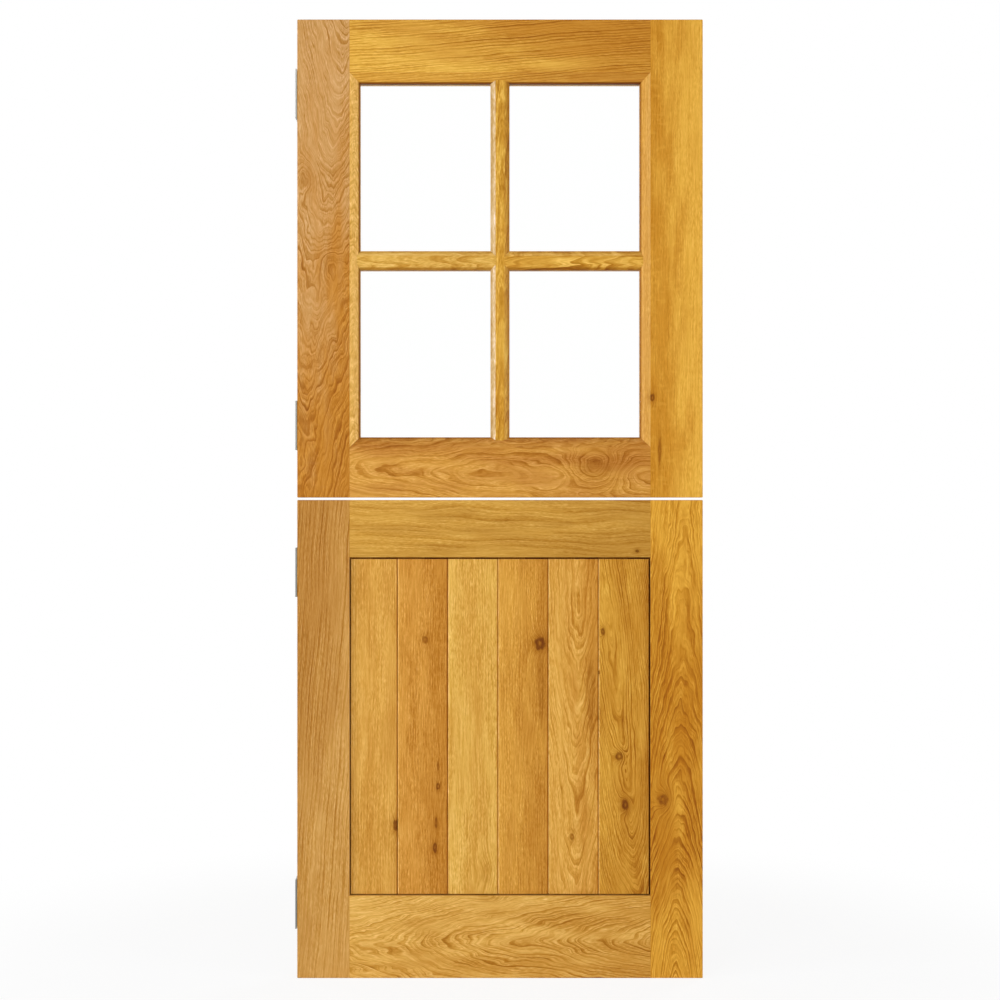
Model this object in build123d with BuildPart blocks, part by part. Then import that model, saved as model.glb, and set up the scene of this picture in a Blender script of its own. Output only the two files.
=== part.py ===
from build123d import *
import math
import os

os.makedirs("parts", exist_ok=True)

# Overall sizes of the two leaves, in millimetres
door_width = 838.0
leaf_height = 988.0
leaf_thickness = 44.0
meeting_gap = 5.0
edge_easing = 1.2
cut_overrun = 4.0

# Framing that both leaves share
stile_width = 108.0
tenon_thickness = 14.0
tenon_length = 62.0
tenon_haunch = 24.0
tenon_margin = 10.0
tenon_space = 24.0
mortise_end_gap = 1.5

# Upper leaf: rails, stuck moulding and glazing rebate
upper_top_rail_height = 109.5
upper_meeting_rail_height = 104.0
moulding_width = 21.0
moulding_quirk = 1.0
moulding_depth = 14.0
moulding_bulge = 2.6
nib_thickness = 6.0
rebate_width = 12.0

# Glazing bars
bar_width = 39.5
bar_flat = 17.5
bar_recess = 7.0
bar_bulge = 0.3
bar_stub_thickness = 8.0
bar_stub_depth = 12.0
bar_stub_length = 14.0
cross_stub_length = 4.5

# Glass and the beads that hold it
glass_thickness = 4.0
glass_edge_gap = 2.0
bead_setback = 2.0
bead_bevel_share = 0.5

# Lower leaf: rails and the groove that holds the boarded panel
lower_meeting_rail_height = 118.5
lower_bottom_rail_height = 170.0
panel_groove_depth = 13.0
panel_tongue_thickness = 12.0
panel_tongue_clearance = 0.15
panel_tongue_end_gap = 1.0
panel_recess = 8.0
quirk_left = 2.4
quirk_right = 3.2
quirk_top = 3.8
quirk_bottom = 2.6

# Tongued and grooved boards of the panel; the end boards are trimmed to fit
board_count = 6
board_cover_share = 1.003
first_board_share = 0.952
board_joint_gap = 0.4
board_vee = 3.0
board_tongue_thickness = 7.0
board_tongue_length = 7.0
board_tongue_clearance = 0.2

# Butt hinges
hinge_length = 102.0
hinge_end_distance = 150.0
flap_width = 38.0
flap_thickness = 3.0
flap_gap = 2.5
flap_corner_radius = 1.0
flap_recess_clearance = 0.2
knuckle_count = 5
knuckle_radius = 5.5
knuckle_proud = 0.6
knuckle_gap = 0.4
pin_radius = 3.0
pin_clearance = 0.06
pin_tip_radius = 4.6
pin_tip_height = 1.8
pin_tip_bevel_share = 0.5

# Screws of the hinges
wide_screw_spacing = 76.0
narrow_screw_spacing = 28.0
outer_screw_setback = 9.0
inner_screw_setback = 21.0
screw_hole_radius = 2.3
screw_head_radius = 4.2
screw_shank_radius = 2.0
screw_length = 32.0
screw_point_length = 6.0
screw_clearance = 0.1
screw_bore_end_gap = 1.0
screw_slot_width = 1.1
screw_slot_length = 4.6
screw_slot_depth = 1.3
countersink_angle = 90.0

# Faces and edges worked out from those sizes; the front of the door faces -Y
half_width = door_width / 2
front = -leaf_thickness / 2
back = leaf_thickness / 2
shoulder = half_width - stile_width
upper_bottom = leaf_height + meeting_gap
upper_top = upper_bottom + leaf_height

# Glazed opening: sight lines, rebate walls and depths
sight_x = shoulder - moulding_width
rebate_x = sight_x + rebate_width
rail_edge_low = upper_bottom + upper_meeting_rail_height
rail_edge_high = upper_top - upper_top_rail_height
rebate_low = rail_edge_low + moulding_width - rebate_width
rebate_high = rail_edge_high - moulding_width + rebate_width
cross_bar_z = (rebate_low + rebate_high) / 2
nib_depth = moulding_depth + nib_thickness
glass_front = front + nib_depth
glass_back = glass_front + glass_thickness
bead_back = back - bead_setback
stem_half = bar_width / 2 - rebate_width
stub_y = (glass_front + bead_back) / 2
mitre_reach = moulding_width + cut_overrun

# Boarded panel: opening in the frame and the boards' own edges
panel_bottom = lower_bottom_rail_height
panel_top = leaf_height - lower_meeting_rail_height
board_thickness = leaf_thickness - 2 * panel_recess
board_bottom = panel_bottom + quirk_bottom
board_top = panel_top - quirk_top
board_cover = 2 * shoulder / board_count * board_cover_share
first_joint = board_cover * first_board_share - shoulder
board_joints = [first_joint + place * board_cover for place in range(board_count - 1)]
panel_groove_width = panel_tongue_thickness + 2 * panel_tongue_clearance
tongue_reach = panel_groove_depth - panel_tongue_end_gap

# Hinge pins: one vertical line behind the left-hand edge of both leaves
pin_x = -half_width - flap_gap / 2
pin_y = back + knuckle_proud + knuckle_radius
flap_edge_y = pin_y - flap_width
knuckle_pitch = hinge_length / knuckle_count
hinge_middles = {
    "lower_bottom": hinge_end_distance,
    "lower_top": leaf_height - hinge_end_distance,
    "upper_bottom": upper_bottom + hinge_end_distance,
    "upper_top": upper_top - hinge_end_distance,
}
lower_hinges = [hinge_middles["lower_bottom"], hinge_middles["lower_top"]]
upper_hinges = [hinge_middles["upper_bottom"], hinge_middles["upper_top"]]


def save(piece, name):
    """Label a finished piece and write its file."""
    piece.label = name
    export_step(piece, f"parts/{name}.step")


def screw_places(outer_spacing, inner_spacing):
    """Places of a flap's four screws, from the middle of the hinge: one pair in each of two rows."""
    rows = ((outer_screw_setback, outer_spacing), (inner_screw_setback, inner_spacing))
    return [(flap_edge_y + setback, end * spacing / 2) for setback, spacing in rows for end in (-1, 1)]


# The post's flap has its two rows the other way round, so that no screw heads face each other
leaf_screws = screw_places(wide_screw_spacing, narrow_screw_spacing)
post_screws = screw_places(narrow_screw_spacing, wide_screw_spacing)


def tenons(leaf_edge, inward, rail_height, count):
    """Middle and height of each tenon of a rail, measured up the leaf."""
    height = (rail_height - tenon_haunch - tenon_margin - (count - 1) * tenon_space) / count
    first = leaf_edge + inward * (tenon_haunch + height / 2)
    return [(first + inward * place * (height + tenon_space), height) for place in range(count)]


upper_top_tenons = tenons(upper_top, -1, upper_top_rail_height, 1)
upper_meeting_tenons = tenons(upper_bottom, 1, upper_meeting_rail_height, 1)
lower_meeting_tenons = tenons(leaf_height, -1, lower_meeting_rail_height, 1)
lower_bottom_tenons = tenons(0, 1, lower_bottom_rail_height, 2)


def tenon_faces(side, rail_tenons):
    """Outlines of the tenons, on the shoulder line of one stile."""
    with BuildSketch(Plane.YZ.offset(side * shoulder)) as faces:
        for middle, height in rail_tenons:
            with Locations((0, middle)):
                Rectangle(tenon_thickness, height)
    return faces.sketch


def upright_stub_face(level):
    """Outline of the upright bar's stub tenon."""
    with BuildSketch(Plane.XY.offset(level)) as face:
        with Locations((0, stub_y)):
            Rectangle(bar_stub_thickness, bar_stub_depth)
    return face.sketch


def cross_stub_face(place):
    """Outline of a cross bar's stub tenon."""
    with BuildSketch(Plane.YZ.offset(place)) as face:
        with Locations((stub_y, cross_bar_z)):
            Rectangle(bar_stub_depth, bar_stub_thickness)
    return face.sketch


def hinge_recesses(hinges):
    """Outlines of the recesses that take the hinge flaps, on the hinge edge of the leaf."""
    behind = back + cut_overrun
    with BuildSketch(Plane.YZ.offset(-half_width)) as outlines:
        for middle in hinges:
            with Locations(((flap_edge_y - flap_recess_clearance + behind) / 2, middle)):
                Rectangle(
                    behind - flap_edge_y + flap_recess_clearance,
                    hinge_length + 2 * flap_recess_clearance,
                )
    return outlines.sketch


def screw_bores(hinges):
    """Outlines of the bores for the hinge screws, on the hinge edge of the leaf."""
    with BuildSketch(Plane.YZ.offset(-half_width)) as outlines:
        for middle in hinges:
            for across, along in leaf_screws:
                with Locations((across, middle + along)):
                    Circle(screw_shank_radius + screw_clearance)
    return outlines.sketch


def moulded_section(plane, flat):
    """Section of a glazed member: flat face, moulding, nib, rebate, back; plane x runs to the glass."""
    sight = flat + moulding_width
    with BuildSketch(plane) as section:
        with BuildLine():
            Polyline((0, edge_easing), (edge_easing, 0), (flat, 0), (flat, moulding_quirk))
            SagittaArc((flat, moulding_quirk), (sight, moulding_depth), -moulding_bulge)
            Polyline(
                (sight, moulding_depth),
                (sight, nib_depth),
                (sight - rebate_width, nib_depth),
                (sight - rebate_width, leaf_thickness),
                (edge_easing, leaf_thickness),
                (0, leaf_thickness - edge_easing),
                (0, edge_easing),
            )
        make_face()
    return section.sketch


def bar_section(plane):
    """Section of a glazing bar: raised flat, a moulded slope each side, and a stem between the panes."""
    with BuildSketch(plane) as section:
        with BuildLine():
            Line((0, bar_recess), (bar_flat / 2, bar_recess))
            SagittaArc((bar_flat / 2, bar_recess), (bar_width / 2, moulding_depth), -bar_bulge)
            Polyline(
                (bar_width / 2, moulding_depth),
                (bar_width / 2, nib_depth),
                (stem_half, nib_depth),
                (stem_half, bead_back - front),
                (0, bead_back - front),
            )
            mirror(about=Plane.YZ)
        make_face()
    return section.sketch


def end_edges(stile, side):
    """Edges round both ends of a stile, all but the ones that meet a rail."""
    ends = stile.faces().sort_by(Axis.Z)
    edges = ends[0].edges() + ends[-1].edges()
    return [edge for edge in edges if abs(edge.center().X - side * shoulder) > edge_easing]


def upper_stile(side):
    """Stile of the glazed leaf, with its moulding mitred to both rails; side is -1 left, 1 right."""
    foot = upper_bottom if side < 0 else upper_top
    plane = Plane((side * half_width, front, foot), x_dir=(-side, 0, 0), z_dir=(0, 0, -side))
    corners = ((rail_edge_high, upper_top, 1), (rail_edge_low, upper_bottom, -1))
    with BuildPart() as stile:
        extrude(moulded_section(plane, stile_width), amount=leaf_height)
        with BuildSketch(Plane.XZ):
            for rail_edge, leaf_edge, outward in corners:
                with BuildLine():
                    Polyline(
                        (side * shoulder, rail_edge),
                        (side * (shoulder - mitre_reach), rail_edge - outward * mitre_reach),
                        (side * (shoulder - mitre_reach), leaf_edge + outward * cut_overrun),
                        (side * shoulder, leaf_edge + outward * cut_overrun),
                        close=True,
                    )
                make_face()
        extrude(amount=leaf_thickness, both=True, mode=Mode.SUBTRACT)
        chamfer(end_edges(stile.part, side), edge_easing)
        mortises = tenon_faces(side, upper_top_tenons + upper_meeting_tenons)
        extrude(mortises, amount=side * (tenon_length + mortise_end_gap), mode=Mode.SUBTRACT)
        stub_mortise = cross_stub_face(side * rebate_x)
        extrude(stub_mortise, amount=side * (bar_stub_length + mortise_end_gap), mode=Mode.SUBTRACT)
        if side < 0:
            extrude(hinge_recesses(upper_hinges), amount=flap_thickness, mode=Mode.SUBTRACT)
            bore_length = screw_length + screw_bore_end_gap
            extrude(screw_bores(upper_hinges), amount=bore_length, mode=Mode.SUBTRACT)
    return stile.part


def upper_rail(leaf_edge, inward, rail_height, rail_tenons):
    """Rail of the glazed leaf: moulding mitred to the stiles, a blind tenon at each end."""
    plane = Plane((inward * shoulder, front, leaf_edge), x_dir=(0, 0, inward), z_dir=(-inward, 0, 0))
    rail_edge = leaf_edge + inward * rail_height
    rebate_wall = rail_edge + inward * (moulding_width - rebate_width)
    with BuildPart() as rail:
        extrude(moulded_section(plane, rail_height), amount=2 * shoulder)
        with BuildSketch(Plane.XZ):
            for side in (-1, 1):
                with BuildLine():
                    Polyline(
                        (side * shoulder, rail_edge),
                        (side * (shoulder - mitre_reach), rail_edge + inward * mitre_reach),
                        (side * (shoulder + cut_overrun), rail_edge + inward * mitre_reach),
                        (side * (shoulder + cut_overrun), rail_edge),
                        close=True,
                    )
                make_face()
        extrude(amount=leaf_thickness, both=True, mode=Mode.SUBTRACT)
        for side in (-1, 1):
            extrude(tenon_faces(side, rail_tenons), amount=side * tenon_length)
        stub_mortise = upright_stub_face(rebate_wall)
        extrude(stub_mortise, amount=-inward * (bar_stub_length + mortise_end_gap), mode=Mode.SUBTRACT)
    return rail.part


# Frame of the upper leaf
upper_hinge_stile = upper_stile(-1)
upper_closing_stile = upper_stile(1)
upper_top_rail = upper_rail(upper_top, -1, upper_top_rail_height, upper_top_tenons)
upper_meeting_rail = upper_rail(upper_bottom, 1, upper_meeting_rail_height, upper_meeting_tenons)
save(upper_hinge_stile, "upper_hinge_stile")
save(upper_closing_stile, "upper_closing_stile")
save(upper_top_rail, "upper_top_rail")
save(upper_meeting_rail, "upper_meeting_rail")

# Upright glazing bar: ends scribed over the rails' mouldings, stub tenons into both rails
upright_plane = Plane((0, front, rail_edge_low), x_dir=(1, 0, 0), z_dir=(0, 0, 1))
with BuildPart() as upright_bar:
    extrude(bar_section(upright_plane), amount=rail_edge_high - rail_edge_low)
    add(upper_top_rail, mode=Mode.SUBTRACT)
    add(upper_meeting_rail, mode=Mode.SUBTRACT)
    extrude(upright_stub_face(rebate_low - bar_stub_length), amount=bar_stub_length + rebate_width)
    extrude(upright_stub_face(rebate_high + bar_stub_length), amount=-bar_stub_length - rebate_width)
    for side in (-1, 1):
        cross_mortise = cross_stub_face(side * stem_half)
        extrude(cross_mortise, amount=-side * cross_stub_length, mode=Mode.SUBTRACT)
save(upright_bar.part, "upright_glazing_bar")


def cross_bar(side, stile):
    """Half of the cross bar, scribed to the stile's moulding and to the upright bar."""
    plane = Plane((max(side, 0) * shoulder, front, cross_bar_z), x_dir=(0, 0, 1), z_dir=(-1, 0, 0))
    stub_length = bar_stub_length + rebate_width
    with BuildPart() as bar:
        extrude(bar_section(plane), amount=shoulder)
        add(stile, mode=Mode.SUBTRACT)
        add(upright_bar.part, mode=Mode.SUBTRACT)
        extrude(cross_stub_face(side * (rebate_x + bar_stub_length)), amount=-side * stub_length)
    return bar.part


save(cross_bar(-1, upper_hinge_stile), "cross_glazing_bar_left")
save(cross_bar(1, upper_closing_stile), "cross_glazing_bar_right")


def glass_pane(middle, width, height):
    """Pane of clear glass, a little smaller than its rebate."""
    with BuildPart() as pane:
        with BuildSketch(Plane.XZ.offset(-glass_front)):
            with Locations(middle):
                Rectangle(width - 2 * glass_edge_gap, height - 2 * glass_edge_gap)
        extrude(amount=-glass_thickness)
    return pane.part


def glazing_bead(middle, towards, run, distance, length):
    """Strip behind a pane on the side that `towards` points to, running along `run`: mitred, bevelled."""
    outer = Vector(*middle) + Vector(*towards) * distance
    inner = outer - Vector(*towards) * rebate_width
    outer_half = Vector(*run) * (length / 2)
    inner_half = Vector(*run) * (length / 2 - rebate_width)
    with BuildPart() as bead:
        with BuildSketch(Plane.XZ.offset(-glass_back)):
            with BuildLine():
                Polyline(
                    outer - outer_half,
                    outer + outer_half,
                    inner + inner_half,
                    inner - inner_half,
                    close=True,
                )
            make_face()
        extrude(amount=glass_back - bead_back)
        back_edges = bead.edges().group_by(Axis.Y)[-1]
        sight_edge = back_edges.sort_by_distance((middle[0], bead_back, middle[1]))[0]
        chamfer(sight_edge, rebate_width * bead_bevel_share)
    return bead.part


# Four panes, with four beads behind each
pane_width = rebate_x - stem_half
pane_height = (rebate_high - rebate_low) / 2 - stem_half
beads = {
    "head": ((0, 1), (1, 0), pane_height / 2, pane_width),
    "sill": ((0, -1), (1, 0), pane_height / 2, pane_width),
    "left": ((-1, 0), (0, 1), pane_width / 2, pane_height),
    "right": ((1, 0), (0, 1), pane_width / 2, pane_height),
}
for row, up in (("lower", -1), ("upper", 1)):
    for column, side in (("left", -1), ("right", 1)):
        pane_x = side * (stem_half + pane_width / 2)
        pane_z = cross_bar_z + up * (stem_half + pane_height / 2)
        save(glass_pane((pane_x, pane_z), pane_width, pane_height), f"glass_pane_{row}_{column}")
        for edge, (towards, run, distance, length) in beads.items():
            bead = glazing_bead((pane_x, pane_z), towards, run, distance, length)
            save(bead, f"glazing_bead_{row}_{column}_{edge}")


def lower_stile(side):
    """Stile of the boarded leaf, grooved for the panel and eased along it between the rails."""
    easing_square = edge_easing * math.sqrt(2)
    with BuildPart() as stile:
        with BuildSketch(Plane.XY) as section:
            with Locations((side * (half_width - stile_width / 2), 0)):
                Rectangle(stile_width, leaf_thickness)
            chamfer(section.vertices().group_by(Axis.X)[0 if side < 0 else -1], edge_easing)
        extrude(amount=leaf_height)
        chamfer(end_edges(stile.part, side), edge_easing)
        with BuildSketch(Plane.XY.offset(panel_bottom)):
            with Locations((side * shoulder, front), (side * shoulder, back)):
                Rectangle(easing_square, easing_square, rotation=45)
        extrude(amount=panel_top - panel_bottom, mode=Mode.SUBTRACT)
        with BuildSketch(Plane.YZ.offset(side * shoulder)):
            with Locations((0, (panel_bottom + panel_top) / 2)):
                Rectangle(panel_groove_width, panel_top - panel_bottom)
        extrude(amount=side * panel_groove_depth, mode=Mode.SUBTRACT)
        mortises = tenon_faces(side, lower_meeting_tenons + lower_bottom_tenons)
        extrude(mortises, amount=side * (tenon_length + mortise_end_gap), mode=Mode.SUBTRACT)
        if side < 0:
            extrude(hinge_recesses(lower_hinges), amount=flap_thickness, mode=Mode.SUBTRACT)
            bore_length = screw_length + screw_bore_end_gap
            extrude(screw_bores(lower_hinges), amount=bore_length, mode=Mode.SUBTRACT)
    return stile.part


def lower_rail(low, high, panel_edge, rail_tenons):
    """Rail of the boarded leaf: eased arrises, a groove for the board ends, blind tenons."""
    with BuildPart() as rail:
        with BuildSketch(Plane.YZ.offset(-shoulder)) as section:
            with Locations((0, (low + high) / 2)):
                Rectangle(leaf_thickness, high - low)
            chamfer(section.vertices(), edge_easing)
            with Locations((0, panel_edge)):
                Rectangle(panel_groove_width, 2 * panel_groove_depth, mode=Mode.SUBTRACT)
        extrude(amount=2 * shoulder)
        for side in (-1, 1):
            extrude(tenon_faces(side, rail_tenons), amount=side * tenon_length)
    return rail.part


# Frame of the lower leaf
save(lower_stile(-1), "lower_hinge_stile")
save(lower_stile(1), "lower_closing_stile")
save(lower_rail(panel_top, leaf_height, panel_top, lower_meeting_tenons), "lower_meeting_rail")
save(lower_rail(0, panel_bottom, panel_bottom, lower_bottom_tenons), "lower_bottom_rail")


def panel_board(place):
    """One board of the panel, counted from the left: vees at its joints and a tongue at each end."""
    first = place == 0
    last = place == board_count - 1
    left = quirk_left - shoulder if first else board_joints[place - 1] + board_joint_gap / 2
    right = shoulder - quirk_right if last else board_joints[place] - board_joint_gap / 2
    middle = (left + right) / 2
    end_left = panel_tongue_clearance - shoulder if first else left
    end_right = shoulder - panel_tongue_clearance if last else right
    side_left = -shoulder - tongue_reach if first else left
    side_right = shoulder + tongue_reach if last else right
    panel_middle = (panel_bottom + panel_top) / 2
    panel_height = panel_top - panel_bottom
    board_foot = panel_bottom - tongue_reach
    board_length = panel_height + 2 * tongue_reach
    groove_depth = board_tongue_length + board_tongue_clearance
    groove_width = board_tongue_thickness + 2 * board_tongue_clearance
    with BuildPart() as board:
        with BuildSketch(Plane.XZ):
            with Locations(((end_left + end_right) / 2, panel_middle)):
                Rectangle(end_right - end_left, board_length)
            with Locations(((side_left + side_right) / 2, panel_middle)):
                Rectangle(side_right - side_left, panel_height - 2 * panel_tongue_clearance)
        extrude(amount=panel_tongue_thickness / 2, both=True)
        with BuildSketch(Plane.XY.offset(board_bottom)) as section:
            with Locations((middle, 0)):
                Rectangle(right - left, board_thickness)
            if not first:
                chamfer(section.vertices().group_by(Axis.X)[0], board_vee)
            if not last:
                chamfer(section.vertices().group_by(Axis.X)[-1], board_vee)
        extrude(amount=board_top - board_bottom)
        if not first:
            with BuildSketch(Plane.XY.offset(board_foot)):
                with Locations((left, 0)):
                    Rectangle(2 * groove_depth, groove_width)
            extrude(amount=board_length, mode=Mode.SUBTRACT)
        if not last:
            with BuildSketch(Plane.XY.offset(board_foot)):
                with Locations((right, 0)):
                    Rectangle(2 * board_tongue_length, board_tongue_thickness)
            extrude(amount=board_length)
    return board.part


for place in range(board_count):
    save(panel_board(place), f"panel_board_{place + 1}")


def hinge_flap(middle, side, own_knuckles, own_screws):
    """One flap of a hinge with its knuckles; side is 1 on the leaf and -1 on the door post."""
    foot = middle - hinge_length / 2
    gap_x = pin_x + side * flap_gap / 2
    gap_face = Plane((gap_x, 0, middle), x_dir=(0, 1, 0), z_dir=(-side, 0, 0))
    with BuildPart() as flap:
        with BuildSketch(Plane.XY.offset(foot)):
            with Locations((gap_x + side * flap_thickness / 2, pin_y - flap_width / 2)):
                Rectangle(flap_thickness, flap_width)
        extrude(amount=hinge_length)
        fillet(flap.edges().filter_by(Axis.X).group_by(Axis.Y)[0], flap_corner_radius)
        for place in range(knuckle_count):
            low = foot + place * knuckle_pitch
            if place in own_knuckles:
                with BuildSketch(Plane.XY.offset(low + knuckle_gap / 2)):
                    with Locations((pin_x, pin_y)):
                        Circle(knuckle_radius)
                extrude(amount=knuckle_pitch - knuckle_gap)
            else:
                with BuildSketch(Plane.XY.offset(low - knuckle_gap / 2)):
                    with Locations((pin_x, pin_y)):
                        Circle(knuckle_radius + knuckle_gap)
                extrude(amount=knuckle_pitch + knuckle_gap, mode=Mode.SUBTRACT)
        with BuildSketch(Plane.XY.offset(foot)):
            with Locations((pin_x, pin_y)):
                Circle(pin_radius + pin_clearance)
        extrude(amount=hinge_length, mode=Mode.SUBTRACT)
        with Locations(gap_face):
            with Locations(*own_screws):
                CounterSinkHole(
                    screw_hole_radius,
                    screw_head_radius + screw_clearance,
                    depth=flap_thickness,
                    counter_sink_angle=countersink_angle,
                )
    return flap.part


def hinge_pin(middle):
    """Pin of a hinge, with a bevelled button at each end."""
    with BuildPart() as pin:
        with BuildSketch(Plane.XY.offset(middle - hinge_length / 2)):
            with Locations((pin_x, pin_y)):
                Circle(pin_radius)
        extrude(amount=hinge_length)
        for outward in (-1, 1):
            with BuildSketch(Plane.XY.offset(middle + outward * hinge_length / 2)):
                with Locations((pin_x, pin_y)):
                    Circle(pin_tip_radius)
            extrude(amount=outward * pin_tip_height)
        ends = pin.faces().sort_by(Axis.Z)
        chamfer(ends[0].edges() + ends[-1].edges(), pin_tip_height * pin_tip_bevel_share)
    return pin.part


# Hinges: the post's flap has the outer and middle knuckles, the leaf's flap those between
post_knuckles = range(0, knuckle_count, 2)
leaf_knuckles = range(1, knuckle_count, 2)
for hinge, middle in hinge_middles.items():
    save(hinge_flap(middle, 1, leaf_knuckles, leaf_screws), f"hinge_leaf_flap_{hinge}")
    save(hinge_flap(middle, -1, post_knuckles, post_screws), f"hinge_post_flap_{hinge}")
    save(hinge_pin(middle), f"hinge_pin_{hinge}")

# One countersunk wood screw, its head at the origin and its point along +X
head_depth = screw_head_radius - screw_shank_radius
with BuildPart() as screw:
    with BuildSketch(Plane.XY):
        with BuildLine():
            Polyline(
                (0, 0),
                (0, screw_head_radius),
                (head_depth, screw_shank_radius),
                (screw_length - screw_point_length, screw_shank_radius),
                (screw_length, 0),
                close=True,
            )
        make_face()
    revolve(axis=Axis.X)
    with BuildSketch(Plane.YZ):
        Rectangle(screw_slot_length, screw_slot_width)
        Rectangle(screw_slot_width, screw_slot_length)
    extrude(amount=screw_slot_depth, mode=Mode.SUBTRACT)


def hinge_screws(hinges):
    """All the screws that hold one leaf to its hinges."""
    with BuildPart() as screws:
        for middle in hinges:
            for across, along in leaf_screws:
                with Locations((-half_width, across, middle + along)):
                    add(screw.part)
    return screws.part


save(hinge_screws(lower_hinges), "hinge_screws_lower_leaf")
save(hinge_screws(upper_hinges), "hinge_screws_upper_leaf")
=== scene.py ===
import math

import bmesh
import bpy
from mathutils import Matrix, Vector


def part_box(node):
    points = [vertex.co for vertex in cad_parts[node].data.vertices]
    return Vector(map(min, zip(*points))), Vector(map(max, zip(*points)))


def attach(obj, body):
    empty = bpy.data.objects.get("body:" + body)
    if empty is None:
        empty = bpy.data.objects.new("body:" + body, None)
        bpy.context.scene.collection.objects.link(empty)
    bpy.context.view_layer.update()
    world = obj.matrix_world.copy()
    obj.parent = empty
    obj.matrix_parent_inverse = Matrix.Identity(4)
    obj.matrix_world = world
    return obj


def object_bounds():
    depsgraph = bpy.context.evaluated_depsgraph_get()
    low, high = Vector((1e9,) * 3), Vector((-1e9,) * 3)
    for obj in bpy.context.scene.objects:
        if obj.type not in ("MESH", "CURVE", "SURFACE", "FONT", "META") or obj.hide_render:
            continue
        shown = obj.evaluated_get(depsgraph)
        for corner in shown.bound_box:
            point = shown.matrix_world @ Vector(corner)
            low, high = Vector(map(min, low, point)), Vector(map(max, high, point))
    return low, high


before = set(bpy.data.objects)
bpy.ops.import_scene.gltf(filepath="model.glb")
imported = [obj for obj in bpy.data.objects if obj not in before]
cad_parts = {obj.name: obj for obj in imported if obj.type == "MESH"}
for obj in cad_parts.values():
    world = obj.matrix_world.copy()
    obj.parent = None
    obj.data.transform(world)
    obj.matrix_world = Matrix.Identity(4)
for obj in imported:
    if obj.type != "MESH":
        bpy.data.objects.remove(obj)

bl_info = {
    "name": "Oak stable door",
    "version": (1, 0, 0),
    "blender": (4, 5, 0),
    "location": "3D View > Sidebar > Stable Door",
    "description": "Finishes a two-leaf oak stable door and stands it in a pale studio",
    "category": "Object",
}


def paint(red, green, blue):
    """A colour as read from a colour card, in steps of 0 to 255, made linear for the shaders."""
    shares = [step / 255 for step in (red, green, blue)]
    return tuple(s / 12.92 if s <= 0.04045 else ((s + 0.055) / 1.055) ** 2.4 for s in shares)


def nodes_named(words):
    """The CAD nodes whose names hold these words, in order."""
    return tuple(sorted(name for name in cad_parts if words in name))


# Places on the door that the finishes need, read from the frame
CAD_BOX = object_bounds()
LEAF_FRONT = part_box("lower_hinge_stile")[0].y
SHOULDER = -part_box("lower_hinge_stile")[1].x
MOULDING_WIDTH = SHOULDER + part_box("upper_hinge_stile")[1].x
DOOR_MIDDLE = (CAD_BOX[0].z + CAD_BOX[1].z) / 2

# Turns that lay a piece's grain along u, its width along v and its thickness along w
STANDING_GRAIN = Matrix(((0, 0, 1), (1, 0, 0), (0, 1, 0)))
LYING_GRAIN = Matrix(((-1, 0, 0), (0, 0, 1), (0, 1, 0)))

UPPER_FRAME = ("upper_hinge_stile", "upper_closing_stile", "upper_top_rail", "upper_meeting_rail")
GLAZING_BARS = ("upright_glazing_bar", "cross_glazing_bar_left", "cross_glazing_bar_right")
LOWER_FRAME = ("lower_hinge_stile", "lower_closing_stile", "lower_meeting_rail", "lower_bottom_rail")
BOARDS = nodes_named("panel_board")
PANES = nodes_named("glass_pane")
BEADS = nodes_named("glazing_bead")
FLAPS = nodes_named("_flap_")
HINGE_PINS = nodes_named("hinge_pin")
HINGE_SCREWS = nodes_named("hinge_screws")

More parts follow.
